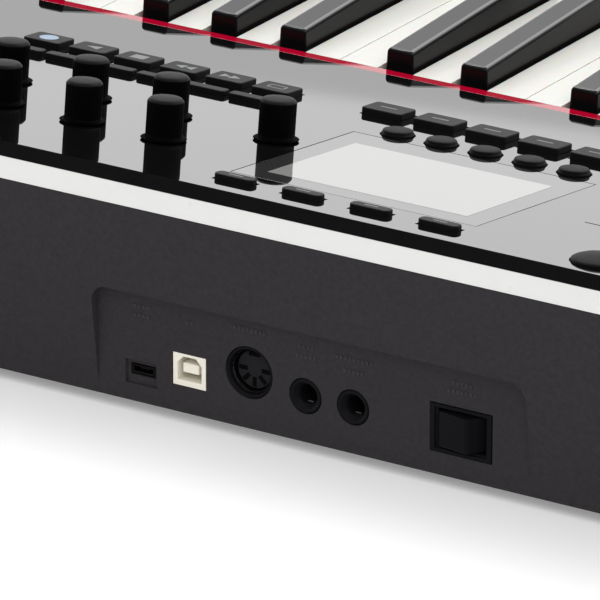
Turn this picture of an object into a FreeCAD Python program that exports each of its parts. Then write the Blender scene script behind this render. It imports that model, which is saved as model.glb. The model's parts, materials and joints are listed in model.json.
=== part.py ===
import FreeCAD, Part
import math
import os
import Sketcher

# Keyboard synthesizer with 49 keys. Millimetres. +X is the player's right, +Y the rear, +Z up.
# The origin is the centre of the case's footprint, on the surface that the rubber feet stand on.

DIMENSIONS = {
    # Case
    "half_width": 400.0,
    "front_y": -160.0,
    "rear_y": 160.0,
    "foot_height": 4.0,
    "wall": 2.5,
    "front_base_y": -156.0,
    "rear_base_y": 151.0,
    "band_rear_bottom": 72.1,
    "edge_drop": 4.84,
    "rim_drop": 12.37,
    # Sloping top panel: its surface height above the origin, and its slope
    "panel_level": 64.03,
    "panel_slope": 7.28,
    "panel_tangent": 0.12775,
    "panel_front": -11.1,
    "panel_rear": 160.65,
    "panel_edge": 4.8,
    "panel_skin": 2.8,
    "strip_width": 5.7,
    "strip_depth": 1.5,
    # Keybed
    "keybed_left": -299.4,
    "white_pitch": 23.5,
    "octave": 164.5,
    "key_gap": 0.5,
    "black_zone": 6.85,
    "white_top": 61.5,
    "white_front": -154.0,
    "white_back": -12.6,
    "plate_depth": 3.5,
    "skirt_depth": 19.5,
    "skirt_wall": 2.5,
    "rib_bottom": -14.5,
    "tail_top": -6.5,
    "tail_back": 37.0,
    "notch_front": -112.7,
    "black_front": -111.5,
    "black_back": -16.5,
    "black_base": 11.7,
    "black_crown": 9.75,
    "black_shoulder": 0.8,
    "black_back_height": 6.4,
    "black_front_height": 11.0,
    "pivot_y": 31.9,
    "pivot_drop": 10.5,
    "pivot_radius": 2.5,
    "pivot_bore": 2.57,
    # Knobs
    "knob_radius": 5.85,
    "knob_side": 12.4,
    "knob_height": 13.9,
    "flange_radius": 7.3,
    "shaft_radius": 3.0,
    "shaft_bore": 3.06,
    "shaft_top": 8.5,
    "shaft_hole": 4.0,
    # Buttons and pads
    "cap_gap": 0.35,
    "cap_bottom": -6.6,
    "transport_pitch": 17.6,
    "transport_first": 87.8,
    "menu_pitch": 19.2,
    "menu_first": -48.0,
    "round_pitch": 16.1,
    "round_first": -32.2,
    "view_pitch": 24.4,
    "view_first": -36.6,
    "pad_side": 28.0,
    "pad_pitch": 32.0,
    "pad_first": -190.0,
    "pad_row": 58.0,
    "dome_radius": 9.0,
    # Display
    "glass_width": 88.0,
    "glass_length": 71.6,
    "glass_centre": 103.5,
    "glass_depth": 1.5,
    # Wheels
    "wheel_radius": 23.0,
    "wheel_width": 13.0,
    "wheel_y": -62.0,
    "wheel_z": 47.5,
    "wheel_bore": 3.06,
    "axle_radius": 3.0,
    # Rear sockets
    "recess_left": -72.4,
    "recess_right": 84.7,
    "recess_top": 42.0,
    "recess_corner": 6.0,
    "recess_plane": 151.57,
    "power_x": 68.8,
    "power_z": 14.6,
    "usb_x": 51.0,
    "usb_z": 18.5,
    "midi_x": 29.0,
    "midi_z": 22.8,
    "midi_radius": 8.65,
    "jack_first_x": 8.5,
    "jack_second_x": -8.7,
    "jack_z": 19.5,
    "jack_ring": 5.5,
    "jack_bore": 3.22,
    "jack_length": 30.0,
    "switch_x": -47.4,
    "switch_z": 19.7,
    "switch_width": 21.6,
    "switch_height": 15.5,
    "rocker_width": 15.9,
    "rocker_height": 11.4,
    "rocker_tilt": 12.0,
}

document = FreeCAD.newDocument("synthesizer")
sheet = document.addObject("Spreadsheet::Sheet", "Dims")
for row, (alias, value) in enumerate(DIMENSIONS.items(), start=1):
    sheet.set(f"A{row}", alias)
    sheet.set(f"B{row}", str(value))
    sheet.setAlias(f"B{row}", alias)
document.recompute()

subparts = []


def expression(text):
    """The formula with each dimension name pointed at its cell in the sheet."""
    words = []
    word = ""
    for letter in str(text) + " ":
        if letter.isalnum() or letter in "_.":
            word += letter
            continue
        words.append(f"Dims.{word}" if word in DIMENSIONS else word)
        words.append(letter)
        word = ""
    return "".join(words).strip()


def finish(thing, name):
    """Marks a top-level object as the sub-part of that name."""
    thing.Label = name
    subparts.append((name, thing))
    return thing


# ---------------------------------------------------------------- sketches and bodies


def new_body(name):
    body = document.addObject("PartDesign::Body", f"{name}_body")
    body.AllowCompound = True
    return finish(body, name)


def new_sketch(body, role, offset="0"):
    """A sketch on one of the body's own origin planes, shifted along its normal."""
    sketch = body.newObject("Sketcher::SketchObject", "Sketch")
    plane = [item for item in body.Origin.OriginFeatures if item.Role == role][0]
    sketch.AttachmentSupport = (plane, [""])
    sketch.MapMode = "FlatFace"
    sketch.setExpression(".AttachmentOffset.Base.z", expression(offset))
    return sketch


def polygon(sketch, points):
    """A closed outline whose corners are bound to pairs of formulas."""
    start = len(sketch.Geometry)
    count = len(points)
    seeds = []
    for index in range(count):
        turn = 2.0 * math.pi * index / count
        seeds.append(FreeCAD.Vector(20 * math.cos(turn), 20 * math.sin(turn), 0))
    for index in range(count):
        following = seeds[(index + 1) % count]
        sketch.addGeometry(Part.LineSegment(seeds[index], following), False)
    for index in range(count):
        follower = start + (index + 1) % count
        sketch.addConstraint(Sketcher.Constraint("Coincident", start + index, 2, follower, 1))
    for index, (across, along) in enumerate(points):
        seed = seeds[index]
        for kind, place, formula in (("DistanceX", seed.x, across), ("DistanceY", seed.y, along)):
            made = Sketcher.Constraint(kind, -1, 1, start + index, 1, place)
            number = sketch.addConstraint(made)
            sketch.setExpression(f"Constraints[{number}]", expression(formula))


def rectangle(sketch, low_x, low_y, high_x, high_y):
    polygon(sketch, [(low_x, low_y), (high_x, low_y), (high_x, high_y), (low_x, high_y)])


def circle(sketch, across, along, radius):
    index = len(sketch.Geometry)
    seed = FreeCAD.Vector(3, 3, 0)
    sketch.addGeometry(Part.Circle(seed, FreeCAD.Vector(0, 0, 1), 1.0), False)
    for kind, formula in (("DistanceX", across), ("DistanceY", along)):
        number = sketch.addConstraint(Sketcher.Constraint(kind, -1, 1, index, 3, 3.0))
        sketch.setExpression(f"Constraints[{number}]", expression(formula))
    number = sketch.addConstraint(Sketcher.Constraint("Radius", index, 1.0))
    sketch.setExpression(f"Constraints[{number}]", expression(radius))


def extrude(body, kind, sketch, length, reverse=False, both=False):
    """A Pad or a Pocket of the sketch."""
    document.recompute()
    feature = body.newObject(f"PartDesign::{kind}", kind)
    feature.Profile = sketch
    feature.setExpression("Length", expression(length))
    feature.Reversed = reverse
    if both:
        feature.SideType = "Symmetric"
    return feature


def repeat(body, features, sketch, axis, pitch, count):
    """A row of copies of the features along one axis of the sketch."""
    document.recompute()
    pattern = body.newObject("PartDesign::LinearPattern", "Row")
    pattern.Originals = features
    pattern.Direction = (sketch, [axis])
    pattern.setExpression("Length", expression(f"({pitch}) * {count - 1}"))
    pattern.Occurrences = count
    body.Tip = pattern


# ---------------------------------------------------------------- primitives and booleans


def box(low_x, low_y, low_z, high_x, high_y, high_z):
    solid = document.addObject("Part::Box", "Block")
    sides = (("Length", low_x, high_x, "x"), ("Width", low_y, high_y, "y"), ("Height", low_z, high_z, "z"))
    for side, low, high, axis in sides:
        solid.setExpression(side, expression(f"({high}) - ({low})"))
        solid.setExpression(f".Placement.Base.{axis}", expression(low))
    return solid


TURNS = {
    "+X": FreeCAD.Rotation(FreeCAD.Vector(0, 1, 0), 90),
    "+Y": FreeCAD.Rotation(FreeCAD.Vector(1, 0, 0), -90),
    "+Z": FreeCAD.Rotation(),
}


def cylinder(centre, radius, length, towards="+Z"):
    solid = document.addObject("Part::Cylinder", "Round")
    solid.Placement.Rotation = TURNS[towards]
    solid.setExpression("Radius", expression(radius))
    solid.setExpression("Height", expression(length))
    for axis, place in zip("xyz", centre):
        solid.setExpression(f".Placement.Base.{axis}", expression(place))
    return solid


def fuse(pieces):
    joined = document.addObject("Part::MultiFuse", "Joined")
    joined.Shapes = pieces
    return joined


def cut(base, tool):
    result = document.addObject("Part::Cut", "Remainder")
    result.Base = base
    result.Tool = tool
    return result


def group(name, pieces):
    """One sub-part made of several separate solids."""
    if len(pieces) == 1:
        return finish(pieces[0], name)
    joined = document.addObject("Part::Compound", name)
    joined.Links = pieces
    return finish(joined, name)


# ---------------------------------------------------------------- the sloping panel's own frame


def on_panel(thing, across="0", along="0"):
    """Places a thing on the panel's surface: along is measured up the slope."""
    thing.Placement.Rotation = FreeCAD.Rotation(FreeCAD.Vector(1, 0, 0), 1.0)
    thing.setExpression(".Placement.Rotation.Angle", expression("panel_slope"))
    thing.setExpression(".Placement.Base.x", expression(across))
    thing.setExpression(".Placement.Base.y", expression(f"({along}) * cos(panel_slope)"))
    thing.setExpression(".Placement.Base.z", expression(f"panel_level + ({along}) * sin(panel_slope)"))
    return thing


KNOB_ROWS = {
    "data_knob": (55.5, 95.4),
    "knob_a": (95.3, 95.4),
    "knob_b": (125.7, 95.4),
    "knob_c": (156.1, 95.4),
    "knob_d": (186.5, 95.4),
    "knob_e": (80.4, 121.6),
    "knob_f": (110.8, 121.6),
    "knob_g": (141.2, 121.6),
    "knob_h": (171.6, 121.6),
}

# Each row of caps: first cap's X, pitch, count, place up the slope, width, length, height above the panel
CAP_ROWS = {
    "transport_buttons": ("transport_first", "transport_pitch", 6, 44.0, 13.8, 10.5, 2.2),
    "track_buttons": ("transport_first", "transport_pitch", 6, 58.8, 16.0, 4.4, 1.8),
    "menu_buttons": ("menu_first", "menu_pitch", 6, 40.4, 14.8, 10.3, 2.2),
    "view_buttons": ("view_first", "view_pitch", 4, 148.2, 14.1, 4.6, 1.8),
}
ROUND_ROW = 60.5
ROUND_RADIUS = 5.4
ROUND_COUNT = 5
PAD_COLUMNS = 4
DOME_PLACE = (-92.0, 147.2)
FADER_X = -232.0
FADER_TRAVEL = (60.0, 100.0)
# A cut this deep goes right through the panel
THROUGH_PANEL = "10"


def cap_outline(sketch, first, width, length, place, grow="0"):
    low = f"{place} - {length} / 2 - ({grow})"
    high = f"{place} + {length} / 2 + ({grow})"
    rectangle(sketch, f"{first} - {width} / 2 - ({grow})", low, f"{first} + {width} / 2 + ({grow})", high)


def build_caps():
    for name, (first, pitch, count, place, width, length, height) in CAP_ROWS.items():
        body = new_body(name)
        sketch = new_sketch(body, "XY_Plane", "cap_bottom")
        cap_outline(sketch, first, width, length, place)
        pad = extrude(body, "Pad", sketch, f"{height} - cap_bottom")
        repeat(body, [pad], sketch, "H_Axis", pitch, count)
        on_panel(body)


def build_round_caps():
    body = new_body("round_buttons")
    sketch = new_sketch(body, "XY_Plane", "cap_bottom")
    circle(sketch, "round_first", ROUND_ROW, ROUND_RADIUS)
    pad = extrude(body, "Pad", sketch, "2 - cap_bottom")
    repeat(body, [pad], sketch, "H_Axis", "round_pitch", ROUND_COUNT)
    on_panel(body)


def build_pads():
    body = new_body("drum_pads")
    sketch = new_sketch(body, "XY_Plane", "-5")
    for line in (0, 1):
        cap_outline(sketch, "pad_first", "pad_side", "pad_side", f"(pad_row + {line} * pad_pitch)")
    pad = extrude(body, "Pad", sketch, "7.4")
    repeat(body, [pad], sketch, "H_Axis", "pad_pitch", PAD_COLUMNS)
    on_panel(body)


def turned(name, profile, place):
    """A round piece from a closed half-profile of (radius, height) corners."""
    body = new_body(name)
    sketch = new_sketch(body, "XZ_Plane")
    polygon(sketch, profile)
    document.recompute()
    spin = body.newObject("PartDesign::Revolution", "Spin")
    spin.Profile = sketch
    spin.ReferenceAxis = (sketch, ["V_Axis"])
    spin.Angle = 360
    on_panel(body, *place)
    return body


def build_knobs():
    profile = [
        ("0", "knob_height"),
        ("0", "shaft_top + 0.4"),
        ("shaft_bore", "shaft_top + 0.4"),
        ("shaft_bore", "0.4"),
        ("flange_radius", "0.4"),
        ("flange_radius", "0.8"),
        ("knob_radius", "1.4"),
        ("knob_radius", "knob_side"),
        ("knob_radius - 0.9", "knob_height - 0.45"),
        ("knob_radius - 3.2", "knob_height - 0.1"),
    ]
    for name, place in KNOB_ROWS.items():
        turned(name, profile, place)


def build_dome_button():
    profile = [
        ("0", "cap_bottom"),
        ("0", "4"),
        ("dome_radius * 0.4", "3.6"),
        ("dome_radius * 0.75", "2.6"),
        ("dome_radius", "0.9"),
        ("dome_radius", "cap_bottom"),
    ]
    turned("dome_button", profile, DOME_PLACE)


def build_top_panel():
    body = new_body("top_panel")
    plan = new_sketch(body, "XY_Plane")
    rectangle(plan, "-half_width", "panel_front", "half_width", "panel_rear")
    extrude(body, "Pad", plan, "panel_edge", reverse=True)
    under = new_sketch(body, "XY_Plane", "-panel_skin")
    rectangle(under, "-half_width + 4", "panel_front + 4", "half_width - 4", "panel_rear - 4")
    extrude(body, "Pocket", under, "panel_edge")
    rebate = new_sketch(body, "XY_Plane")
    rectangle(rebate, "-half_width - 1", "panel_front - 1", "half_width + 1", "panel_front + strip_width")
    extrude(body, "Pocket", rebate, "strip_depth")
    window = new_sketch(body, "XY_Plane")
    cap_outline(window, "0", "glass_width", "glass_length", "glass_centre", "0.3")
    extrude(body, "Pocket", window, THROUGH_PANEL)
    for first, pitch, count, place, width, length, _ in CAP_ROWS.values():
        hole = new_sketch(body, "XY_Plane")
        cap_outline(hole, first, width, length, place, "cap_gap")
        pocket = extrude(body, "Pocket", hole, THROUGH_PANEL)
        repeat(body, [pocket], hole, "H_Axis", pitch, count)
    hole = new_sketch(body, "XY_Plane")
    circle(hole, "round_first", ROUND_ROW, f"{ROUND_RADIUS} + cap_gap")
    pocket = extrude(body, "Pocket", hole, THROUGH_PANEL)
    repeat(body, [pocket], hole, "H_Axis", "round_pitch", ROUND_COUNT)
    hole = new_sketch(body, "XY_Plane")
    for line in (0, 1):
        cap_outline(hole, "pad_first", "pad_side", "pad_side", f"(pad_row + {line} * pad_pitch)", "cap_gap")
    pocket = extrude(body, "Pocket", hole, THROUGH_PANEL)
    repeat(body, [pocket], hole, "H_Axis", "pad_pitch", PAD_COLUMNS)
    single = new_sketch(body, "XY_Plane")
    for place in KNOB_ROWS.values():
        circle(single, place[0], place[1], "shaft_hole")
    circle(single, DOME_PLACE[0], DOME_PLACE[1], "dome_radius + cap_gap")
    low, high = FADER_TRAVEL
    rectangle(single, FADER_X - 1.2, low - 5, FADER_X + 1.2, high + 5)
    extrude(body, "Pocket", single, THROUGH_PANEL)
    on_panel(body)


def build_display():
    glass = box("-glass_width / 2", "-glass_length / 2", "-glass_depth",
                "glass_width / 2", "glass_length / 2", "0")
    finish(on_panel(seated(glass, "glass_centre")), "display_glass")
    module = box("-41", "-33.5", "-6.4", "41", "33.5", "-glass_depth")
    finish(on_panel(seated(module, "glass_centre")), "display_module")


def seated(solid, along):
    """Wraps a solid drawn about its own centre so that it sits that far up the slope."""
    holder = document.addObject("Part::Compound", "Seat")
    holder.Links = [solid]
    holder.setExpression(".Placement.Base.y", expression(along))
    outer = document.addObject("Part::Compound", "Holder")
    outer.Links = [holder]
    return outer


def build_strip():
    strip = box("-half_width", "panel_front", "-strip_depth",
                "half_width", "panel_front + strip_width", "0")
    finish(on_panel(seated(strip, "0")), "red_strip")


def build_encoders():
    pieces = []
    for across, along in KNOB_ROWS.values():
        can = box(across - 6, along - 6, "-9.4", across + 6, along + 6, "-panel_skin")
        shaft = cylinder((across, along, "-panel_skin"), "shaft_radius", "shaft_top + panel_skin")
        pieces.append(fuse([can, shaft]))
    on_panel(group("encoder_set", pieces))


def build_control_board():
    board = box("-246", "26", "-11", "204", "155", "-9.4")
    finish(on_panel(seated(board, "0")), "control_board")
    pieces = []
    for first, pitch, count, place, *_ in CAP_ROWS.values():
        for number in range(count):
            centre = f"({first} + {number} * {pitch})"
            corners = (f"{centre} - 2", place - 2, "-9.4", f"{centre} + 2", place + 2, "cap_bottom - 1.2")
            pieces.append(box(*corners))
    for number in range(ROUND_COUNT):
        centre = f"(round_first + {number} * round_pitch)"
        pieces.append(box(f"{centre} - 2", ROUND_ROW - 2, "-9.4",
                          f"{centre} + 2", ROUND_ROW + 2, "cap_bottom - 1.2"))
    across, along = DOME_PLACE
    pieces.append(box(across - 2, along - 2, "-9.4", across + 2, along + 2, "cap_bottom - 1.2"))
    on_panel(group("tact_switches", pieces))


def build_fader():
    low, high = FADER_TRAVEL
    track = box(FADER_X - 4, low - 12, "-9.4", FADER_X + 4, high + 12, "-panel_skin")
    slot = box(FADER_X - 1, low - 4, "-7.4", FADER_X + 1, high + 4, "0")
    finish(on_panel(seated(cut(track, slot), "0")), "fader_track")
    stem = box(FADER_X - 0.6, low - 2, "-6.9", FADER_X + 0.6, low + 2, "1.5")
    cap = box(FADER_X - 5, low - 6, "0.5", FADER_X + 5, low + 6, "9")
    finish(on_panel(seated(fuse([stem, cap]), "0")), "volume_fader")


# ---------------------------------------------------------------- case

SCREW_PLACES = [(across, along) for across in (-280, -60, 150, 360) for along in (-130, 50)]


def build_bottom_case():
    body = new_body("bottom_case")
    side = new_sketch(body, "YZ_Plane")
    front_rim = "band_rear_bottom - (rear_y - front_y) * panel_tangent"
    polygon(side, [
        ("front_base_y", "foot_height"),
        ("rear_base_y", "foot_height"),
        ("rear_y", "band_rear_bottom"),
        ("front_y", front_rim),
    ])
    extrude(body, "Pad", side, "half_width * 2", both=True)
    hollow = new_sketch(body, "YZ_Plane")
    lean = "(rear_y - rear_base_y) / (band_rear_bottom - foot_height)"
    front_lean = f"(front_base_y - front_y) / ({front_rim} - foot_height)"
    polygon(hollow, [
        ("front_base_y + wall", "foot_height + wall"),
        ("rear_base_y - wall", "foot_height + wall"),
        (f"rear_base_y - wall + 80 * {lean}", "foot_height + wall + 80"),
        (f"front_base_y + wall - 80 * {front_lean}", "foot_height + wall + 80"),
    ])
    extrude(body, "Pocket", hollow, "(half_width - wall) * 2", both=True)
    backing = new_sketch(body, "YZ_Plane", "(recess_left + recess_right) / 2")
    polygon(backing, [
        ("recess_plane - 3.2", "foot_height + 1"),
        ("rear_base_y - 0.6", "foot_height + 1"),
        (f"rear_base_y - 0.6 + (recess_top + 1) * {lean}", "foot_height + recess_top + 2"),
        ("recess_plane - 3.2", "foot_height + recess_top + 2"),
    ])
    extrude(body, "Pad", backing, "recess_right - recess_left + 8", both=True)
    recess = new_sketch(body, "YZ_Plane", "(recess_left + recess_right) / 2")
    rectangle(recess, "recess_plane", "foot_height + 1", "rear_y + 5", "recess_top")
    hollowed = extrude(body, "Pocket", recess, "recess_right - recess_left", both=True)
    round_recess(body, hollowed)
    ports = new_sketch(body, "XZ_Plane")
    rectangle(ports, "power_x - 4.6", "power_z - 2", "power_x + 4.6", "power_z + 2")
    rectangle(ports, "usb_x - 6.25", "usb_z - 5.5", "usb_x + 6.25", "usb_z + 5.5")
    circle(ports, "midi_x", "midi_z", "midi_radius")
    circle(ports, "jack_first_x", "jack_z", "jack_ring + 0.4")
    circle(ports, "jack_second_x", "jack_z", "jack_ring + 0.4")
    half_width, half_height = "(switch_width / 2 + 0.35)", "(switch_height / 2 + 0.35)"
    rectangle(ports, f"switch_x - {half_width}", f"switch_z - {half_height}",
              f"switch_x + {half_width}", f"switch_z + {half_height}")
    extrude(body, "Pocket", ports, "rear_y + 20")
    notch = new_sketch(body, "XZ_Plane", "-recess_plane + 1.2")
    rectangle(notch, "power_x - 5.85", "power_z - 4.6", "power_x + 5.85", "power_z + 3.4")
    extrude(body, "Pocket", notch, "20")
    standoffs = new_sketch(body, "XY_Plane", "foot_height + 1")
    for across in (-66, 0, 84):
        for along in (100, 128):
            circle(standoffs, across, along, 3)
    extrude(body, "Pad", standoffs, "6.4")
    bosses = new_sketch(body, "XY_Plane", "foot_height")
    holes = new_sketch(body, "XY_Plane", "foot_height - 1")
    heads = new_sketch(body, "XY_Plane", "foot_height - 1")
    for across, along in SCREW_PLACES:
        circle(bosses, across, along, 5)
        circle(holes, across, along, 1.7)
        circle(heads, across, along, 3.2)
    extrude(body, "Pad", bosses, "5")
    extrude(body, "Pocket", holes, "8", reverse=True)
    extrude(body, "Pocket", heads, "3.6", reverse=True)


# How closely an edge must lie to a dimension to be taken as standing on it
TOLERANCE = 0.01


def round_recess(body, hollowed):
    """Rounds the recess's two upper corners."""
    document.recompute()
    corners = []
    for number, edge in enumerate(hollowed.Shape.Edges, start=1):
        spread = edge.BoundBox
        along_depth = max(spread.XLength, spread.ZLength) < TOLERANCE
        sides = (DIMENSIONS["recess_left"], DIMENSIONS["recess_right"])
        at_side = min(abs(spread.XMin - side) for side in sides) < TOLERANCE
        at_top = abs(spread.ZMin - DIMENSIONS["recess_top"]) < TOLERANCE
        if along_depth and at_side and at_top:
            corners.append(f"Edge{number}")
    rounding = body.newObject("PartDesign::Fillet", "Corners")
    rounding.Base = (hollowed, corners)
    rounding.setExpression("Radius", expression("recess_corner"))


def side_block(name, low_x, high_x):
    """White end block that flanks the keys, hollow from below."""
    body = new_body(name)
    sketch = new_sketch(body, "YZ_Plane", f"(({low_x}) + ({high_x})) / 2")
    rim = "band_rear_bottom - rear_y * panel_tangent + 0.05"
    top = "panel_level + panel_front * panel_tangent"
    polygon(sketch, [
        ("front_y", f"{rim} + front_y * panel_tangent"),
        ("panel_front - 0.3", f"{rim} + panel_front * panel_tangent"),
        ("panel_front - 0.3", top),
        ("front_y + 7", top),
        ("front_y + 2", f"{top} - 2.5"),
        ("front_y", f"{top} - 8"),
    ])
    extrude(body, "Pad", sketch, f"({high_x}) - ({low_x})", both=True)
    inside = new_sketch(body, "XY_Plane", "20")
    rectangle(inside, f"({low_x}) + wall", "front_y + wall",
              f"({high_x}) - wall", "panel_front - 0.3 - wall")
    extrude(body, "Pocket", inside, f"{top} - wall - 20", reverse=True)
    return body


WHEEL_PLACES = {"pitch_wheel": -372.0, "mod_wheel": -332.0}


def build_end_blocks():
    left = side_block("left_block", "-half_width", "keybed_left - 0.5")
    slots = new_sketch(left, "XY_Plane", "40")
    for across in WHEEL_PLACES.values():
        rectangle(slots, f"{across} - wheel_width / 2 - 1", "wheel_y - 20",
                  f"{across} + wheel_width / 2 + 1", "wheel_y + 20")
    extrude(left, "Pocket", slots, "40", reverse=True)
    side_block("right_block", "keybed_left + octave * 4 + white_pitch + 0.5", "half_width")


def build_trim_band():
    body = new_body("trim_band")
    side = new_sketch(body, "YZ_Plane")
    polygon(side, [
        ("panel_front", "panel_level - rim_drop + 0.05 + panel_front * panel_tangent"),
        ("rear_y", "panel_level - rim_drop + 0.05 + rear_y * panel_tangent"),
        ("rear_y", "panel_level - edge_drop + rear_y * panel_tangent"),
        ("panel_front", "panel_level - edge_drop + panel_front * panel_tangent"),
    ])
    extrude(body, "Pad", side, "half_width * 2", both=True)
    inside = new_sketch(body, "XY_Plane", "20")
    rectangle(inside, "-half_width + wall", "panel_front - 5", "half_width - wall", "rear_y - wall")
    extrude(body, "Pocket", inside, "80", reverse=True)


def build_key_slip():
    slip = box("keybed_left - 0.4", "front_y", "31.8",
               "keybed_left + octave * 4 + white_pitch + 0.4", "front_y + 3", "50")
    finish(slip, "key_slip")


# ---------------------------------------------------------------- keys

# White keys of one octave: how many lie to the left, and whether a black key stands on each side
WHITE_KEYS = {
    "c": (0, None, 21.22),
    "d": (1, 21.22, 49.3),
    "e": (2, 49.3, None),
    "f": (3, None, 90.58),
    "g": (4, 90.58, 117.5),
    "a": (5, 117.5, 144.43),
    "b": (6, 144.43, None),
}
BLACK_KEYS = {"c_sharp": 21.22, "d_sharp": 49.3, "f_sharp": 90.58, "g_sharp": 117.5, "a_sharp": 144.43}
OCTAVES = 4


def key_body(name):
    body = new_body(name)
    body.setExpression(".Placement.Base.x", expression("keybed_left"))
    body.setExpression(".Placement.Base.z", expression("white_top"))
    return body


def key_lever(body, low_x, high_x, front, outline_top):
    """The rib under a key and its tail, with the bore for the pivot rod."""
    profile = new_sketch(body, "YZ_Plane", f"(({low_x}) + ({high_x})) / 2")
    polygon(profile, [
        (front, "rib_bottom"),
        ("tail_back", "rib_bottom"),
        ("tail_back", "tail_top"),
        ("white_back", "tail_top"),
        ("white_back", outline_top),
        (front, outline_top),
    ])
    circle(profile, "pivot_y", "-pivot_drop", "pivot_bore")
    return extrude(body, "Pad", profile, f"({high_x}) - ({low_x})", both=True)


def white_key(name, number, black_left, black_right, count):
    body = key_body(name)
    low = f"({number} * white_pitch + key_gap / 2)"
    high = f"({number + 1} * white_pitch - key_gap / 2)"
    inner_low = low if black_left is None else f"({black_left} + black_zone)"
    inner_high = high if black_right is None else f"({black_right} - black_zone)"
    plan = new_sketch(body, "XY_Plane")
    corners = [(low, "white_front"), (high, "white_front")]
    if black_right is not None:
        corners += [(high, "notch_front"), (inner_high, "notch_front")]
    corners += [(inner_high, "white_back"), (inner_low, "white_back")]
    if black_left is not None:
        corners += [(inner_low, "notch_front"), (low, "notch_front")]
    polygon(plan, corners)
    plate = extrude(body, "Pad", plan, "plate_depth", reverse=True)
    front = new_sketch(body, "XY_Plane")
    rectangle(front, low, "white_front", high, "white_front + skirt_wall")
    skirt = extrude(body, "Pad", front, "skirt_depth", reverse=True)
    lever = key_lever(body, f"{inner_low} + 2", f"{inner_high} - 2", "white_front + 4", "-plate_depth + 0.5")
    if count > 1:
        repeat(body, [plate, skirt, lever], plan, "H_Axis", "octave", count)


def black_key(name, centre, count):
    body = key_body(name)
    crown = new_sketch(body, "YZ_Plane", centre)
    polygon(crown, [
        ("black_front + 1.5", "0"),
        ("black_back", "0"),
        ("black_back", "black_back_height"),
        ("black_front + 7", "black_front_height"),
        ("black_front + 3.5", "black_front_height - 1.6"),
    ])
    upper = extrude(body, "Pad", crown, "black_crown", both=True)
    plan = new_sketch(body, "XY_Plane", "black_shoulder")
    rectangle(plan, f"{centre} - black_base / 2", "black_front", f"{centre} + black_base / 2", "black_back")
    lower = extrude(body, "Pad", plan, "black_shoulder + 8", reverse=True)
    lever = key_lever(body, f"{centre} - 3.5", f"{centre} + 3.5", "black_front + 3", "-2")
    repeat(body, [upper, lower, lever], plan, "H_Axis", "octave", count)


def build_keys():
    for note, (number, black_left, black_right) in WHITE_KEYS.items():
        white_key(f"{note}_keys", number, black_left, black_right, OCTAVES)
    white_key("top_c_key", 7 * OCTAVES, None, None, 1)
    for note, centre in BLACK_KEYS.items():
        black_key(f"{note}_keys", centre, OCTAVES)


def build_key_chassis():
    right = "keybed_left + octave * 4 + white_pitch"
    pieces = [
        box("keybed_left + 1", "-149", "28", f"{right} - 1", "60", "30"),
        box("keybed_left + 1", "-149", "30", f"{right} - 1", "-146.5", "35.2"),
        box("keybed_left + 1", "-72", "30", f"{right} - 1", "-69", "34"),
        box("keybed_left + 1", "-33", "30", f"{right} - 1", "-30", "34"),
    ]
    for number in range(OCTAVES + 1):
        ear = f"(keybed_left + {number} * octave)"
        pieces.append(box(f"{ear} - 1.2", "26", "30", f"{ear} + 1.2", "38", "56"))
    pieces.append(box(f"{right} - 1.2", "26", "30", f"{right} + 1.2", "38", "56"))
    for across, along in SCREW_PLACES:
        pieces.append(cylinder((across, along, "foot_height + 5"), 5, "28 - foot_height - 5"))
    tools = [cylinder(("keybed_left - 5", "pivot_y", "white_top - pivot_drop"),
                      "pivot_radius", f"{right} - keybed_left + 10", "+X")]
    for across, along in SCREW_PLACES:
        tools.append(cylinder((across, along, "foot_height"), 1.5, 16))
    finish(cut(fuse(pieces), fuse(tools)), "key_chassis")
    rod = cylinder(("keybed_left - 3", "pivot_y", "white_top - pivot_drop"),
                   "pivot_radius", f"{right} - keybed_left + 6", "+X")
    finish(rod, "pivot_rod")
    finish(box("keybed_left + 1", "-149", "35.2", f"{right} - 1", "-146.5", "37.2"), "key_felt")
    finish(box("keybed_left + 1", "-72", "34", f"{right} - 1", "-30", "35.6"), "contact_board")
    finish(box("keybed_left + 2", "-54", "35.6", f"{right} - 2", "-46", "42.2"), "contact_strip")
    screws = []
    for across, along in SCREW_PLACES:
        head = cylinder((across, along, "foot_height + 0.3"), 2.9, 2.2)
        shank = cylinder((across, along, "foot_height + 1"), 1.5, 14)
        screws.append(fuse([head, shank]))
    group("case_screws", screws)


# ---------------------------------------------------------------- wheels


def build_wheels():
    for name, across in WHEEL_PLACES.items():
        start = (f"{across} - wheel_width / 2", "wheel_y", "wheel_z")
        wheel = cylinder(start, "wheel_radius", "wheel_width", "+X")
        bore = cylinder((across - 20, "wheel_y", "wheel_z"), "wheel_bore", 40, "+X")
        dimple = cylinder((across - 20, "wheel_y", "wheel_z + wheel_radius + 2"), 5, 40, "+X")
        finish(cut(wheel, fuse([bore, dimple])), name)
    low, high = WHEEL_PLACES.values()
    ears = []
    for across in (low - 13, (low + high) / 2, high + 13):
        ears.append(box(across - 1.5, "wheel_y - 8", "20", across + 1.5, "wheel_y + 8", "wheel_z + 6"))
    plate = box(low - 14.5, "wheel_y - 30", "18", high + 14.5, "wheel_y + 30", "20.5")
    posts = []
    for across in (low - 9, high + 9):
        for along in ("wheel_y - 25", "wheel_y + 25"):
            posts.append(cylinder((across, along, "foot_height + wall"), 3, "18 - foot_height - wall + 0.5"))
    axle = cylinder((low - 14.5, "wheel_y", "wheel_z"), "axle_radius", high - low + 29, "+X")
    finish(fuse([plate, *ears, *posts, axle]), "wheel_bracket")


# ---------------------------------------------------------------- rear sockets and switch


# Radius of the circle on which the round socket's five pin holes lie
PIN_CIRCLE = 4


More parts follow.
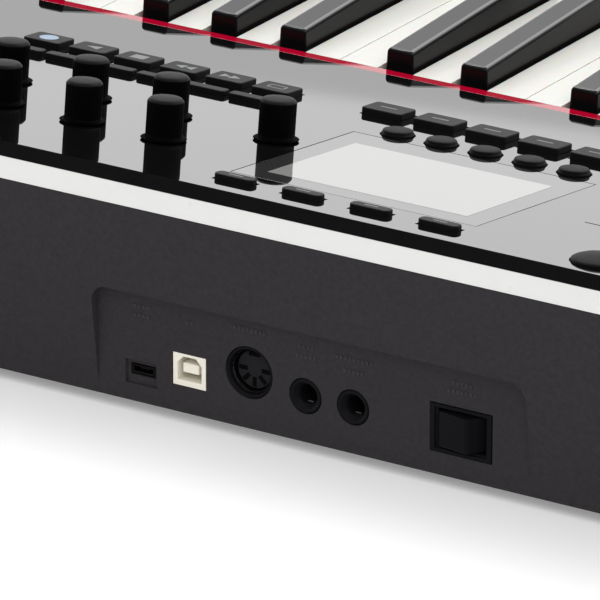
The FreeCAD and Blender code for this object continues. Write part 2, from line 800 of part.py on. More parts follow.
def build_sockets():
    face = "recess_plane"
    shell = box("usb_x - 6.05", f"{face} - 16", "usb_z - 5.35",
                "usb_x + 6.05", f"{face} - 0.2", "usb_z + 5.35")
    mouth = box("usb_x - 4.4", f"{face} - 10", "usb_z - 3.4", "usb_x + 4.4", f"{face} + 1", "usb_z + 4.4")
    tongue = box("usb_x - 2.9", f"{face} - 11", "usb_z - 1.1", "usb_x + 2.9", f"{face} - 1", "usb_z + 2.1")
    finish(fuse([cut(shell, mouth), tongue]), "usb_socket")

    depth = f"{face} - 1.5"
    shell = box("power_x - 4.1", f"{face} - 8", "power_z - 1.4", "power_x + 4.1", depth, "power_z + 1.4")
    mouth = box("power_x - 3.6", f"{face} - 6", "power_z - 0.9", "power_x + 3.6", face, "power_z + 0.9")
    tongue = box("power_x - 2", f"{face} - 7", "power_z - 0.1",
                 "power_x + 2", f"{face} - 2.5", "power_z + 0.4")
    finish(fuse([cut(shell, mouth), tongue]), "power_socket")

    start = ("midi_x", f"{face} - 16", "midi_z")
    shell = cylinder(start, "midi_radius - 0.15", 15.7, "+Y")
    ring = cylinder(("midi_x", f"{face} - 9", "midi_z"), "midi_radius - 1.1", 12, "+Y")
    core = cylinder(start, 6.2, 12.7, "+Y")
    pins = []
    for turn in (-90, -45, 0, 45, 90):
        across = f"midi_x + {PIN_CIRCLE} * sin({turn})"
        level = f"midi_z - {PIN_CIRCLE} * cos({turn})"
        pins.append(cylinder((across, f"{face} - 9", level), 0.9, 12, "+Y"))
    finish(cut(fuse([cut(shell, ring), core]), fuse(pins)), "midi_socket")

    jacks = []
    for place in ("jack_first_x", "jack_second_x"):
        bush = cylinder((place, f"{face} - 6", "jack_z"), "jack_ring", 6, "+Y")
        block = box(f"{place} - 6.8", f"{face} - jack_length", "jack_z - 6",
                    f"{place} + 6.8", f"{face} - 3.6", "jack_z + 6")
        bore = cylinder((place, f"{face} - jack_length - 1", "jack_z"), "jack_bore", "jack_length + 2", "+Y")
        jacks.append(cut(fuse([bush, block]), bore))
    group("pedal_jacks", jacks)

    bezel = box("switch_x - switch_width / 2", f"{face} - 3", "switch_z - switch_height / 2",
                "switch_x + switch_width / 2", f"{face} + 0.2", "switch_z + switch_height / 2")
    can = box("switch_x - 9.8", f"{face} - 16", "switch_z - 6.8", "switch_x + 9.8", face, "switch_z + 6.8")
    step = box("switch_x - switch_width / 2 + 1.4", f"{face} - 0.7", "switch_z - switch_height / 2 + 1",
               "switch_x + switch_width / 2 - 1.4", f"{face} + 3", "switch_z + switch_height / 2 - 1")
    well = box("switch_x - rocker_width / 2 - 0.5", f"{face} - 9", "switch_z - rocker_height / 2 - 0.5",
               "switch_x + rocker_width / 2 + 0.5", f"{face} + 3", "switch_z + rocker_height / 2 + 0.5")
    finish(cut(fuse([bezel, can]), fuse([step, well])), "switch_housing")


def build_rocker():
    """The rocker turns about an upright axis and rests with its +X half outwards."""
    body = new_body("power_rocker")
    plan = new_sketch(body, "XY_Plane", "-rocker_height / 2")
    polygon(plan, [
        ("-rocker_width / 2 + 1", "-4.6"),
        ("rocker_width / 2 - 1", "-4.6"),
        ("rocker_width / 2 - 0.3", "-1.4"),
        ("1", "2.4"),
        ("-1", "2.4"),
        ("-rocker_width / 2 + 0.3", "-1.4"),
    ])
    extrude(body, "Pad", plan, "rocker_height")
    body.Placement.Rotation = FreeCAD.Rotation(FreeCAD.Vector(0, 0, 1), 1.0)
    body.setExpression(".Placement.Rotation.Angle", expression("rocker_tilt"))
    body.setExpression(".Placement.Base.x", expression("switch_x"))
    body.setExpression(".Placement.Base.y", expression("recess_plane"))
    body.setExpression(".Placement.Base.z", expression("switch_z"))


def build_boards_and_feet():
    finish(box("-72", "94", "11.4", "90", "134", "13"), "main_board")
    feet = []
    for across in (-360, 360):
        for along in (-125, 125):
            feet.append(cylinder((across, along, 0), 9, "foot_height"))
    group("rubber_feet", feet)


build_bottom_case()
build_trim_band()
build_end_blocks()
build_key_slip()
build_top_panel()
build_strip()
build_display()
build_encoders()
build_control_board()
build_fader()
build_key_chassis()
build_keys()
build_wheels()
build_sockets()
build_rocker()
build_boards_and_feet()
build_knobs()
build_dome_button()
build_caps()
build_round_caps()
build_pads()
document.recompute()

for item in document.Objects:
    if "Invalid" in item.State or "Error" in item.State:
        raise RuntimeError(f"{item.Name} ({item.Label}) failed: {item.State}")
for name, thing in subparts:
    if thing.Shape.isNull() or not thing.Shape.isValid():
        raise RuntimeError(f"{name} has no valid shape")

os.makedirs("parts", exist_ok=True)
for name, thing in subparts:
    thing.Shape.exportStep(f"parts/{name}.step")
    print(f"{name}: {len(thing.Shape.Solids)} solids, {thing.Shape.Volume / 1000:.2f} cm3")
print(len(subparts), "sub-parts")
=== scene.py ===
import json
from math import cos, pi, radians

import bmesh
import bpy
from mathutils import Matrix, Vector


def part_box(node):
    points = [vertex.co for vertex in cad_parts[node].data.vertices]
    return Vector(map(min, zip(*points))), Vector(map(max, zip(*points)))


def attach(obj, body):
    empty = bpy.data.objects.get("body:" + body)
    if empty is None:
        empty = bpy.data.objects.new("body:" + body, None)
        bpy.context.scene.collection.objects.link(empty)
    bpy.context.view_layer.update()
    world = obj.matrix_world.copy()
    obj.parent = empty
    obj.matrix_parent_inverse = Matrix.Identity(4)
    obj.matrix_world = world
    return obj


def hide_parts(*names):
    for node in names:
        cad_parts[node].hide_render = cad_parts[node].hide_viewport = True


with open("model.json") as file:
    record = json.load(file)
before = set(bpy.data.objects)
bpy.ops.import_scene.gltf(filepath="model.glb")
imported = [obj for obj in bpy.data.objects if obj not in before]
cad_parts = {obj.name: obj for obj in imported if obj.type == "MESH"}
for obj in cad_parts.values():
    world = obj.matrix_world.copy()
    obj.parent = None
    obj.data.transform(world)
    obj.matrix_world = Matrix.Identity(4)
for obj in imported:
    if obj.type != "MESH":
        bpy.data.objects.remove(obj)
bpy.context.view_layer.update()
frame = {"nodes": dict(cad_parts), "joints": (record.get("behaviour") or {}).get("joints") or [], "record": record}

MM = 0.001
NODES = frame["nodes"]
JOINTS = {joint["child"]: joint for joint in frame["joints"]}
PANEL_NORMAL = Vector(JOINTS["data_knob"]["axis"]).normalized()
UP_SLOPE = PANEL_NORMAL.cross(Vector((1, 0, 0))).normalized()
PANEL_LEVEL = Vector(JOINTS["data_knob"]["pos_m"]).dot(PANEL_NORMAL) / PANEL_NORMAL.z

# The sloping panel's own frame: X along the keys, Y up the slope, Z off its surface
PANEL_TURN = Matrix((Vector((1, 0, 0)), UP_SLOPE, PANEL_NORMAL)).transposed().to_4x4()
PANEL = Matrix.Translation((0, 0, PANEL_LEVEL)) @ PANEL_TURN
# A round piece made about Z, turned so that its open end faces the rear
FACING_REAR = Matrix.Rotation(radians(-90), 4, "X")


# ---------------------------------------------------------------- shader maths


class Value:
    """One number that varies over a surface: arithmetic on it adds Math nodes."""

    def __init__(self, network, socket):
        self.network = network
        self.socket = socket

    def math(self, operation, first, second):
        node = self.network.tree.nodes.new("ShaderNodeMath")
        node.operation = operation
        for socket, term in zip(node.inputs, (first, second)):
            self.network.feed(socket, term)
        return Value(self.network, node.outputs[0])

    def __add__(self, other):
        return self.math("ADD", self, other)

    def __sub__(self, other):
        return self.math("SUBTRACT", self, other)

    def __rsub__(self, other):
        return self.math("SUBTRACT", other, self)

    def __mul__(self, other):
        return self.math("MULTIPLY", self, other)

    __radd__ = __add__
    __rmul__ = __mul__


class Network:
    """The nodes of one material or of the surroundings."""

    def __init__(self, tree):
        self.tree = tree

    def feed(self, socket, term):
        if isinstance(term, Value):
            self.tree.links.new(term.socket, socket)
        else:
            socket.default_value = term

    def node(self, kind, output=0, settings=(), **inputs):
        """Any other node: its settings first, then its sockets, and the Value of one output."""
        node = self.tree.nodes.new(kind)
        for name, setting in dict(settings).items():
            setattr(node, name, setting)
        for name, term in inputs.items():
            self.feed(node.inputs[name.replace("_", " ")], term)
        return Value(self, node.outputs[output])

    def fade(self, value, low, high, start, end):
        """Moves softly from start to end as the value goes from low to high."""
        return self.node("ShaderNodeMapRange", 0, {"interpolation_type": "SMOOTHSTEP"}, Value=value,
                         From_Min=low, From_Max=high, To_Min=start, To_Max=end)


class Finish(Network):
    """A material for one kind of surface."""

    def __init__(self, name, **constants):
        self.material = bpy.data.materials.new(name)
        self.material.use_nodes = True
        super().__init__(self.material.node_tree)
        self.shader = self.tree.nodes["Principled BSDF"]
        for socket, value in constants.items():
            self.set(socket.replace("_", " "), value)

    def set(self, socket, term):
        if isinstance(term, tuple) and len(term) == 3:
            term = (*term, 1.0)
        self.feed(self.shader.inputs[socket], term)
        return self

    def place(self):
        return self.node("ShaderNodeTexCoord", "Object")

    def noise(self, scale, detail=3.0, roughness=0.55):
        return self.node("ShaderNodeTexNoise", "Fac", Vector=self.place(), Scale=scale, Detail=detail,
                         Roughness=roughness)

    def blend(self, factor, low, high):
        """Moves from one colour to another."""
        node = self.tree.nodes.new("ShaderNodeMix")
        node.data_type = "RGBA"
        self.feed(node.inputs["Factor"], factor)
        for socket, colour in ((node.inputs[6], low), (node.inputs[7], high)):
            self.feed(socket, colour if isinstance(colour, Value) else (*colour, 1.0))
        return Value(self, node.outputs[2])

    def relief(self, height, distance, strength=1.0):
        self.set("Normal", self.node("ShaderNodeBump", "Normal", Height=height, Distance=distance,
                                     Strength=strength))
        return self


def shaded(colour, amount):
    return tuple(channel * amount for channel in colour)


def mottled(name, colour, roughness, spread=0.12, scale=90.0, grain=900.0, depth=0.00002, change=0.12,
            **constants):
    """A moulded surface with slight changes of tone and of polish, and a fine grain."""
    finish = Finish(name, **constants)
    tone = finish.noise(scale)
    finish.set("Base Color", finish.blend(tone, shaded(colour, 1 - spread), shaded(colour, 1 + spread)))
    finish.set("Roughness", roughness - change / 2 + change * finish.noise(grain * 0.4))
    return finish.relief(finish.noise(grain, detail=2.0), depth)


def dull(name, colour, roughness, shine=0.14, **settings):
    """A dark matt surface that hardly mirrors the studio."""
    return mottled(name, colour, roughness, Specular_IOR_Level=shine, **settings)


def gloss(name, colour, roughness, **settings):
    """A polished surface: its tone varies a little and its polish hardly at all."""
    return mottled(name, colour, roughness, change=0.012, depth=0.0, **settings)


MATERIALS = {
    "case": dull("case_charcoal", (0.0318, 0.029, 0.0318), 0.7, spread=0.3, scale=620.0, grain=850.0,
                 depth=0.00022),
    "white": mottled("white_plastic", (0.745, 0.745, 0.73), 0.3, spread=0.015, grain=600.0, depth=0.000004,
                     Coat_Weight=0.2, Coat_Roughness=0.12),
    "panel": gloss("panel_gloss", (0.004, 0.004, 0.0045), 0.02, spread=0.2, IOR=1.6),
    "red": gloss("red_gloss", (0.45, 0.0012, 0.024), 0.03, spread=0.05, IOR=1.5),
    "key_white": mottled("key_white", (0.82, 0.812, 0.765), 0.2, spread=0.015, scale=40.0, grain=500.0,
                         depth=0.000003, Coat_Weight=0.3, Coat_Roughness=0.08, Subsurface_Weight=0.35,
                         Subsurface_Scale=0.0022),
    "key_black": gloss("key_black", (0.007, 0.007, 0.0078), 0.07, spread=0.2, scale=60.0, IOR=1.5),
    "rubber": dull("knob_rubber", (0.0017, 0.0017, 0.002), 0.42, shine=0.05, spread=0.25, grain=1400.0,
                   depth=0.00002),
    # Knob tops: the knob rubber painted lighter, as painted light on the faces that look up at the lamps.
    "knob_top": dull("knob_top_rubber_painted_lighter", (0.009, 0.009, 0.0095), 0.42, shine=0.05, spread=0.3, grain=1400.0,
                     depth=0.00004),
    # Knob flanges: the rubber painted darker and nearly without gloss, as a painted shadow ring at each knob's
    # foot.
    "flange": dull("knob_flange_painted_shadow", (0.0012, 0.0012, 0.0013), 0.6, shine=0.008, spread=0.1, depth=0.0),
    "round": dull("round_button_rubber", (0.004, 0.004, 0.0044), 0.45, shine=0.06, spread=0.25,
                  grain=1400.0, depth=0.000015),
    "pad": dull("pad_silicone", (0.0105, 0.0105, 0.011), 0.62, spread=0.3, scale=200.0, grain=1700.0,
                depth=0.00003),
    # Black key sides: the key plastic painted darker and duller, as painted shade on the upright faces.
    "key_side_painted_shade": mottled("key_black_side_painted_shade", (0.0045, 0.0045, 0.005), 0.22, spread=0.2, scale=60.0,
                        grain=1500.0, depth=0.000005, change=0.05, Specular_IOR_Level=0.16),
    "button": dull("button_rubber", (0.007, 0.007, 0.0074), 0.5, shine=0.12, spread=0.25, grain=1400.0,
                   depth=0.000015),
    "black": dull("black_plastic", (0.0075, 0.0075, 0.009), 0.42, spread=0.2, grain=1200.0, depth=0.00001),
    "rocker": dull("rocker_plastic", (0.006, 0.006, 0.0085), 0.42, spread=0.2, grain=1300.0,
                   depth=0.00001),
    "cream": mottled("cream_plastic", (0.84, 0.8, 0.69), 0.35, spread=0.04, grain=900.0, depth=0.000006),
    "metal": gloss("bright_metal", (0.72, 0.72, 0.7), 0.2, spread=0.05, Metallic=1.0),
    "dark_metal": gloss("dark_metal", (0.11, 0.11, 0.112), 0.3, spread=0.1, Metallic=1.0),
    "foot": dull("foot_rubber", (0.02, 0.02, 0.02), 0.8, spread=0.2, grain=900.0, depth=0.00005),
    "board": mottled("board_mask", (0.02, 0.16, 0.06), 0.35, spread=0.15, grain=300.0, depth=0.00002),
    "felt": mottled("felt", (0.4, 0.02, 0.02), 0.9, spread=0.3, scale=900.0, grain=1800.0, depth=0.0002),
    "silicone": mottled("contact_silicone", (0.3, 0.3, 0.3), 0.6, spread=0.1),
    "glass": gloss("display_glass", (0.03, 0.031, 0.03), 0.02, spread=0.02, IOR=1.62),
    "screen": gloss("display_screen", (0.27, 0.276, 0.262), 0.03, spread=0.012, IOR=1.62),
    "panel_print": dull("panel_print", (0.012, 0.012, 0.013), 0.75, spread=0.05, depth=0.0),
    # Flat dark marks painted as the shade inside holes that are not cut.
    "hollow": dull("painted_hole_shadow", (0.002, 0.002, 0.002), 0.9, spread=0.1, depth=0.0),
    "insert": dull("insert_plastic", (0.017, 0.0165, 0.02), 0.5, spread=0.15, grain=1200.0, depth=0.00001),
    # Raised dashes: the case plastic painted a little lighter, as painted light on the tops of the marks.
    "raised": mottled("raised_marks", (0.037, 0.0345, 0.037), 0.6, spread=0.2, grain=1200.0, depth=0.0),
    "print": mottled("button_print", (0.15, 0.155, 0.16), 0.5, spread=0.03),
    "blue_print": mottled("record_print", (0.27, 0.36, 0.47), 0.5, spread=0.03),
}


# ---------------------------------------------------------------- making pieces


def smooth(mesh_edit, angle=40):
    """Smooths across gentle edges and keeps broad flat faces flat."""
    broad = max((face.calc_area() for face in mesh_edit.faces), default=0) * 0.02
    for face in mesh_edit.faces:
        face.smooth = face.calc_area() < broad
    for edge in mesh_edit.edges:
        edge.smooth = edge.calc_face_angle(0) < radians(angle)


def piece(name, mesh_edit, body, material, stands_for=()):
    """Ends one piece: its mesh, its finish, the body that it rides on and the nodes it stands for."""
    mesh = bpy.data.meshes.new(name)
    mesh_edit.to_mesh(mesh)
    mesh_edit.free()
    made = bpy.data.objects.new(name, mesh)
    bpy.context.scene.collection.objects.link(made)
    mesh.materials.append(MATERIALS[material].material)
    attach(made, body)
    if stands_for:
        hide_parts(*stands_for)
    return made


def finish_faces(made, material, chosen):
    """Gives a second finish to the faces of a piece that the test picks."""
    made.data.materials.append(MATERIALS[material].material)
    for face in made.data.polygons:
        if chosen(face):
            face.material_index = len(made.data.materials) - 1


def sharp_edges(mesh_edit, angle=30):
    return [edge for edge in mesh_edit.edges if edge.calc_face_angle(0) > radians(angle)]


def rounded(mesh_edit, width, segments=2, angle=30, edges=None):
    chosen = sharp_edges(mesh_edit, angle) if edges is None else edges
    bmesh.ops.bevel(mesh_edit, geom=chosen, offset=width, segments=segments, profile=0.5, affect="EDGES",
                    material=-1, clamp_overlap=True)


def merged_copy(node):
    """A node's shape with its loose triangles joined into whole faces."""
    mesh_edit = bmesh.new()
    mesh_edit.from_mesh(NODES[node].data)
    bmesh.ops.remove_doubles(mesh_edit, verts=mesh_edit.verts, dist=0.000002)
    bmesh.ops.dissolve_limit(mesh_edit, angle_limit=radians(1), verts=mesh_edit.verts,
                             edges=mesh_edit.edges)
    return mesh_edit


BODY_OF = {node: body for body, nodes in frame["record"]["behaviour"]["bodies"].items() for node in nodes}


def softened(node, material, width, segments=2):
    """The node's own shape with the moulded radius on its edges."""
    mesh_edit = merged_copy(node)
    rounded(mesh_edit, width, segments)
    smooth(mesh_edit)
    return piece(f"{node}_shape", mesh_edit, BODY_OF[node], material, [node])


def block(low, high):
    """A box between two corners."""
    mesh_edit = bmesh.new()
    bmesh.ops.create_cube(mesh_edit, size=1.0)
    low, high = Vector(low), Vector(high)
    bmesh.ops.scale(mesh_edit, vec=high - low, verts=mesh_edit.verts)
    bmesh.ops.translate(mesh_edit, vec=(low + high) / 2, verts=mesh_edit.verts)
    return mesh_edit


def add(mesh_edit, other, matrix=None):
    """Joins another shape into this one."""
    if matrix is not None:
        bmesh.ops.transform(other, matrix=matrix, verts=other.verts)
    carrier = bpy.data.meshes.new("carrier")
    other.to_mesh(carrier)
    other.free()
    mesh_edit.from_mesh(carrier)
    bpy.data.meshes.remove(carrier)
    return mesh_edit


def copies(mesh_edit, count, step):
    """A row of copies, one step apart."""
    original = list(mesh_edit.verts) + list(mesh_edit.edges) + list(mesh_edit.faces)
    for number in range(1, count):
        made = bmesh.ops.duplicate(mesh_edit, geom=original)["geom"]
        moved = [item for item in made if isinstance(item, bmesh.types.BMVert)]
        bmesh.ops.translate(mesh_edit, vec=Vector(step) * number, verts=moved)


# ---------------------------------------------------------------- keys


OCTAVE = 0.1645
BLACK_KEYS = ("c_sharp_keys", "d_sharp_keys", "f_sharp_keys", "g_sharp_keys", "a_sharp_keys")
WHITE_KEYS = ("c_keys", "d_keys", "e_keys", "f_keys", "g_keys", "a_keys", "b_keys", "top_c_key")


def black_key_group(node):
    """Four black keys: a narrow crown that flares at its foot, with a sloping front."""
    low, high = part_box(node)
    base = 11.7 * MM
    crown = 9.75 * MM
    keys = round((high.x - low.x - base) / OCTAVE) + 1
    centre = low.x + base / 2
    back = -16.5 * MM
    back_height = 67.9 * MM
    foot = 52 * MM
    shoulder = 62.2 * MM
    shoulder_flare = 0.35 * MM
    front_slope = 7 * MM
    shoulder_slope = 1.2 * MM
    middle = (low.y + back) / 2
    shape = block((centre - base / 2, low.y, foot), (centre + base / 2, back, high.z))
    bmesh.ops.bisect_plane(shape, geom=list(shape.verts) + list(shape.edges) + list(shape.faces),
                           plane_co=(0, 0, shoulder), plane_no=(0, 0, 1))
    for vert in shape.verts:
        if vert.co.z > high.z - MM:
            side = 1 if vert.co.x > centre else -1
            vert.co.x = centre + side * crown / 2
            if vert.co.y > middle:
                vert.co.z = back_height
            else:
                vert.co.y += front_slope
        elif abs(vert.co.z - shoulder) < MM / 2:
            side = 1 if vert.co.x > centre else -1
            vert.co.x = centre + side * (crown / 2 + shoulder_flare)
            if vert.co.y < middle:
                vert.co.y += shoulder_slope
    top = [edge for edge in shape.edges if min(v.co.z for v in edge.verts) > shoulder + MM]
    rounded(shape, 1.3 * MM, segments=4, edges=top)
    rounded(shape, 0.5 * MM, segments=2, angle=35)
    smooth(shape)
    copies(shape, keys, (OCTAVE, 0, 0))
    made = piece(f"{node}_shape", shape, node, "key_black", [node])
    # The upright faces take the darker copy of the key plastic: painted shade.
    finish_faces(made, "key_side_painted_shade", lambda face: abs(face.normal.z) < 0.5)


def keys():
    for node in WHITE_KEYS:
        softened(node, "key_white", 0.75 * MM, segments=4)
    for node in BLACK_KEYS:
        black_key_group(node)


# ---------------------------------------------------------------- knobs


FLUTES = 36


def turned_shape(profile, steps=96):
    """A round shape about Z from (radius, height) corners, closed at both ends."""
    mesh_edit = bmesh.new()
    points = [mesh_edit.verts.new((radius * MM, 0, height * MM)) for radius, height in profile]
    edges = [mesh_edit.edges.new(pair) for pair in zip(points, points[1:])]
    bmesh.ops.spin(mesh_edit, geom=points + edges, cent=(0, 0, 0), axis=(0, 0, 1), angle=2 * pi, steps=steps,
                   use_merge=True)
    bmesh.ops.remove_doubles(mesh_edit, verts=mesh_edit.verts, dist=0.000002)
    bmesh.ops.recalc_face_normals(mesh_edit, faces=mesh_edit.faces)
    return mesh_edit


def knob(node):
    """A finely fluted rubber knob with a flat top, on a thin flange with a pointed edge."""
    side, low, high = 5.85, 0.95, 12.3
    flute_depth = 0.2 * MM
    top_from = 12.6 * MM
    flange_to = 0.9 * MM
    rings = 8
    profile = [(0, 0.4), (6.7, 0.4), (7.3, 0.58), (6.7, 0.72), (6.0, 0.78), (side, low)]
    profile += [(side, low + (high - low) * number / rings) for number in range(1, rings + 1)]
    profile += [(5.7, 12.52), (5.35, 12.95), (4.95, 13.35), (4.1, 13.56), (2.65, 13.76), (0, 13.86)]
    shape = turned_shape(profile, steps=FLUTES * 4)
    for vert in shape.verts:
        radius = vert.co.xy.length
        if abs(radius - side * MM) > 0.01 * MM:
            continue
        turn = vert.co.xy.angle_signed(Vector((1, 0)))
        depth = flute_depth * (0.5 - 0.5 * cos(turn * FLUTES))
        vert.co.xy = vert.co.xy * (radius - depth) / radius
    for face in shape.faces:
        face.smooth = True
    place = Matrix.Translation(JOINTS[node]["pos_m"]) @ PANEL_TURN
    bmesh.ops.transform(shape, matrix=place, verts=shape.verts)
    made = piece(f"{node}_shape", shape, node, "rubber", [node])
    foot = Vector(JOINTS[node]["pos_m"]).dot(PANEL_NORMAL)
    # The top faces take the lighter copy of the rubber: painted light.
    finish_faces(made, "knob_top", lambda face: face.center.dot(PANEL_NORMAL) - foot > top_from)
    # The flange faces take the darker copy: a painted shadow ring round the knob's foot.
    finish_faces(made, "flange", lambda face: face.center.dot(PANEL_NORMAL) - foot < flange_to)


def knobs():
    for node in JOINTS:
        if "knob" in node:
            knob(node)


# ---------------------------------------------------------------- buttons


def middles(node):
    """The middle of each separate solid of a row, in the panel's frame, from the player's right."""
    mesh_edit = merged_copy(node)
    bmesh.ops.transform(mesh_edit, matrix=PANEL.inverted(), verts=mesh_edit.verts)
    waiting = set(mesh_edit.verts)
    found = []
    while waiting:
        solid = [waiting.pop()]
        for vert in solid:
            for edge in vert.link_edges:
                neighbour = edge.other_vert(vert)
                if neighbour in waiting:
                    waiting.remove(neighbour)
                    solid.append(neighbour)
        spread = [[vert.co[axis] for vert in solid] for axis in range(3)]
        found.append(Vector(((min(spread[0]) + max(spread[0])) / 2,
                             (min(spread[1]) + max(spread[1])) / 2, max(spread[2]))))
    mesh_edit.free()
    return sorted(found, key=lambda middle: -middle.x)


def cap_row(node, corner, material="button"):
    """A row of rubber caps with rounded corners and a small radius round their tops."""
    shape = merged_copy(node)
    bmesh.ops.transform(shape, matrix=PANEL.inverted(), verts=shape.verts)
    upright = []
    for edge in shape.edges:
        along = (edge.verts[0].co - edge.verts[1].co).normalized()
        if abs(along.z) > 0.99 and edge.calc_face_angle(0) > radians(60):
            upright.append(edge)
    rounded(shape, corner, segments=5, edges=upright)
    top = max(vert.co.z for vert in shape.verts)
    rim = [edge for edge in sharp_edges(shape) if min(vert.co.z for vert in edge.verts) > top - 0.01 * MM]
    rounded(shape, 0.4 * MM, segments=3, edges=rim)
    bmesh.ops.transform(shape, matrix=PANEL, verts=shape.verts)
    smooth(shape)
    piece(f"{node}_shape", shape, node, material, [node])


def round_row():
    """Five round buttons with domed tops, each on its own low flange."""
    node = "round_buttons"
    row = bmesh.new()
    for middle in middles(node):
        profile = [(0, -6.6), (5.2, -6.6), (5.35, 0.3), (5.25, 0.6), (4.95, 0.75), (4.9, 1.3), (4.65, 1.6),
                   (4.0, 1.8), (2.6, 1.95), (0, 2.0)]
        place = PANEL @ Matrix.Translation((middle.x, middle.y, 0))
        add(row, turned_shape(profile, steps=48), place)
    for face in row.faces:
        face.smooth = True
    piece(f"{node}_shape", row, node, "round", [node])


def dome():
    """The large round button: a low dome on a straight side."""
    middle = middles("dome_button")[0]
    profile = [(0, -6.6), (8.9, -6.6), (8.95, 0.4), (8.75, 0.8), (8.0, 1.25), (6.4, 1.85), (4.0, 2.35),
               (2.0, 2.55), (0, 2.6)]
    shape = turned_shape(profile, steps=96)
    place = PANEL @ Matrix.Translation((middle.x, middle.y, 0))
    bmesh.ops.transform(shape, matrix=place, verts=shape.verts)
    for face in shape.faces:
        face.smooth = True
    piece("dome_button_shape", shape, "dome_button", "round", ["dome_button"])


PRINT_THICKNESS = 0.04


def thickened(mark, thickness=PRINT_THICKNESS):
    """Raises a single flat face into a closed shape, as thin as print unless it is given a thickness."""
    raised = bmesh.ops.extrude_face_region(mark, geom=list(mark.faces))["geom"]
    lifted = [item for item in raised if isinstance(item, bmesh.types.BMVert)]
    bmesh.ops.translate(mark, vec=(0, 0, thickness * MM), verts=lifted)
    bmesh.ops.recalc_face_normals(mark, faces=mark.faces)
    return mark


def flat_mark(corners, thickness=PRINT_THICKNESS):
    """A flat shape from its corners."""
    mark = bmesh.new()
    mark.faces.new([mark.verts.new((across * MM, along * MM, 0)) for across, along in corners])
    return thickened(mark, thickness)


def disc(radius):
    mark = bmesh.new()
    bmesh.ops.create_circle(mark, cap_ends=True, radius=radius * MM, segments=24)
    return thickened(mark)


def arrow(tip, base):
    """A triangle that points along the row."""
    half = 2.1
    return flat_mark([(base, -half), (tip, 0), (base, half)])


def bar(width, length):
    return flat_mark([(-width / 2, -length / 2), (width / 2, -length / 2), (width / 2, length / 2),
                      (-width / 2, length / 2)])


def loop_sign():
    """The sign for playing round and round: two short lines that join into a loop."""
    stroke, wide, tall = 0.55, 6.0, 3.2
    upright = (stroke, 2.4)
    sign = bar(wide, stroke)
    lines = ((0, tall, wide, stroke), (-wide / 2, tall / 2, *upright), (wide / 2, tall / 2, *upright))
    for across, along, width, length in lines:
        line = bar(width, length)
        bmesh.ops.translate(line, vec=(across * MM, along * MM, 0), verts=line.verts)
        add(sign, line)
    bmesh.ops.translate(sign, vec=(0, -tall / 2 * MM, 0), verts=sign.verts)
    return sign


def transport_mark(number):
    """The usual transport signs, from record at the player's right."""
    if number == 0:
        return disc(3.2)
    if number == 1:
        return arrow(2.8, -2.3)
    if number == 2:
        return bar(5.4, 4.6)
    if number == 3:
        return add(arrow(3.6, 0), arrow(0, -3.6))
    if number == 4:
        return add(arrow(-3.6, 0), arrow(0, 3.6))
    return loop_sign()


def print_marks(node, make, material):
    """One printed mark on top of each cap of a row."""
    for number, middle in enumerate(middles(node)):
        mark = make(number)
        bmesh.ops.transform(mark, matrix=PANEL @ Matrix.Translation(middle), verts=mark.verts)
        piece(f"{node}_mark_{number}", mark, node, material(number))


def buttons():
    cap_row("transport_buttons", 1.2 * MM)
    cap_row("menu_buttons", 1.2 * MM)
    cap_row("track_buttons", 1.2 * MM)
    cap_row("view_buttons", 1.8 * MM)
    cap_row("drum_pads", 1.6 * MM, material="pad")
    round_row()
    dome()
    softened("volume_fader", "rubber", 0.5 * MM, segments=2)
    print_marks("transport_buttons", transport_mark, lambda number: "print" if number else "blue_print")
    print_marks("menu_buttons", lambda number: bar(6.0, 0.8), lambda number: "print")
    print_marks("view_buttons", lambda number: bar(5.0, 0.7), lambda number: "print")


def display():
    """The lit area under the glass, and the printed line that runs along the panel beside it."""
    low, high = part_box("display_glass")
    centre = PANEL.inverted() @ ((low + high) / 2)
    screen = bar(71.8, 51.3)
    place = PANEL @ Matrix.Translation((centre.x, centre.y + 2.0 * MM, 0))
    bmesh.ops.transform(screen, matrix=place, verts=screen.verts)
    piece("display_area", screen, "root", "screen")
    line = bar(152.9, 0.5)
    place = PANEL @ Matrix.Translation((-141.5 * MM, 110.0 * MM, 0))
    bmesh.ops.transform(line, matrix=place, verts=line.verts)
    piece("panel_line", line, "root", "panel_print")


# ---------------------------------------------------------------- case


def case():
    softened("bottom_case", "case", 0.6 * MM)
    softened("trim_band", "white", 0.25 * MM)
    softened("left_block", "white", 0.8 * MM)
    softened("right_block", "white", 0.8 * MM)
    softened("key_slip", "white", 0.4 * MM)
    softened("red_strip", "red", 0.2 * MM)
    softened("display_glass", "glass", 0.15 * MM)


def framed_mouth(outer, inner, front, back):
    """A housing with a mouth of as many corners as its outline. X across, Z up, open towards +Y."""
    shape = bmesh.new()
    corners = [shape.verts.new((across * MM, front * MM, level * MM)) for across, level in outer]
    face = shape.faces.new(corners)
    bmesh.ops.inset_individual(shape, faces=[face], thickness=0.5 * MM)
    for vert, (across, level) in zip(face.verts, inner):
        vert.co = (across * MM, front * MM, level * MM)
    sunk = bmesh.ops.extrude_face_region(shape, geom=[face])["geom"]
    floor = [item for item in sunk if isinstance(item, bmesh.types.BMVert)]
    bmesh.ops.translate(shape, vec=(0, (back - front) * MM, 0), verts=floor)
    bmesh.ops.delete(shape, geom=[face], context="FACES_ONLY")
    border = [edge for edge in shape.edges if edge.is_boundary]
    sides = bmesh.ops.extrude_edge_only(shape, edges=border)["geom"]
    rear = [item for item in sides if isinstance(item, bmesh.types.BMVert)]
    bmesh.ops.translate(shape, vec=(0, (back - front - 1) * MM, 0), verts=rear)
    bmesh.ops.contextual_create(shape, geom=[item for item in sides if isinstance(item, bmesh.types.BMEdge)
                                             and item.is_boundary])
    bmesh.ops.recalc_face_normals(shape, faces=shape.faces)
    return shape


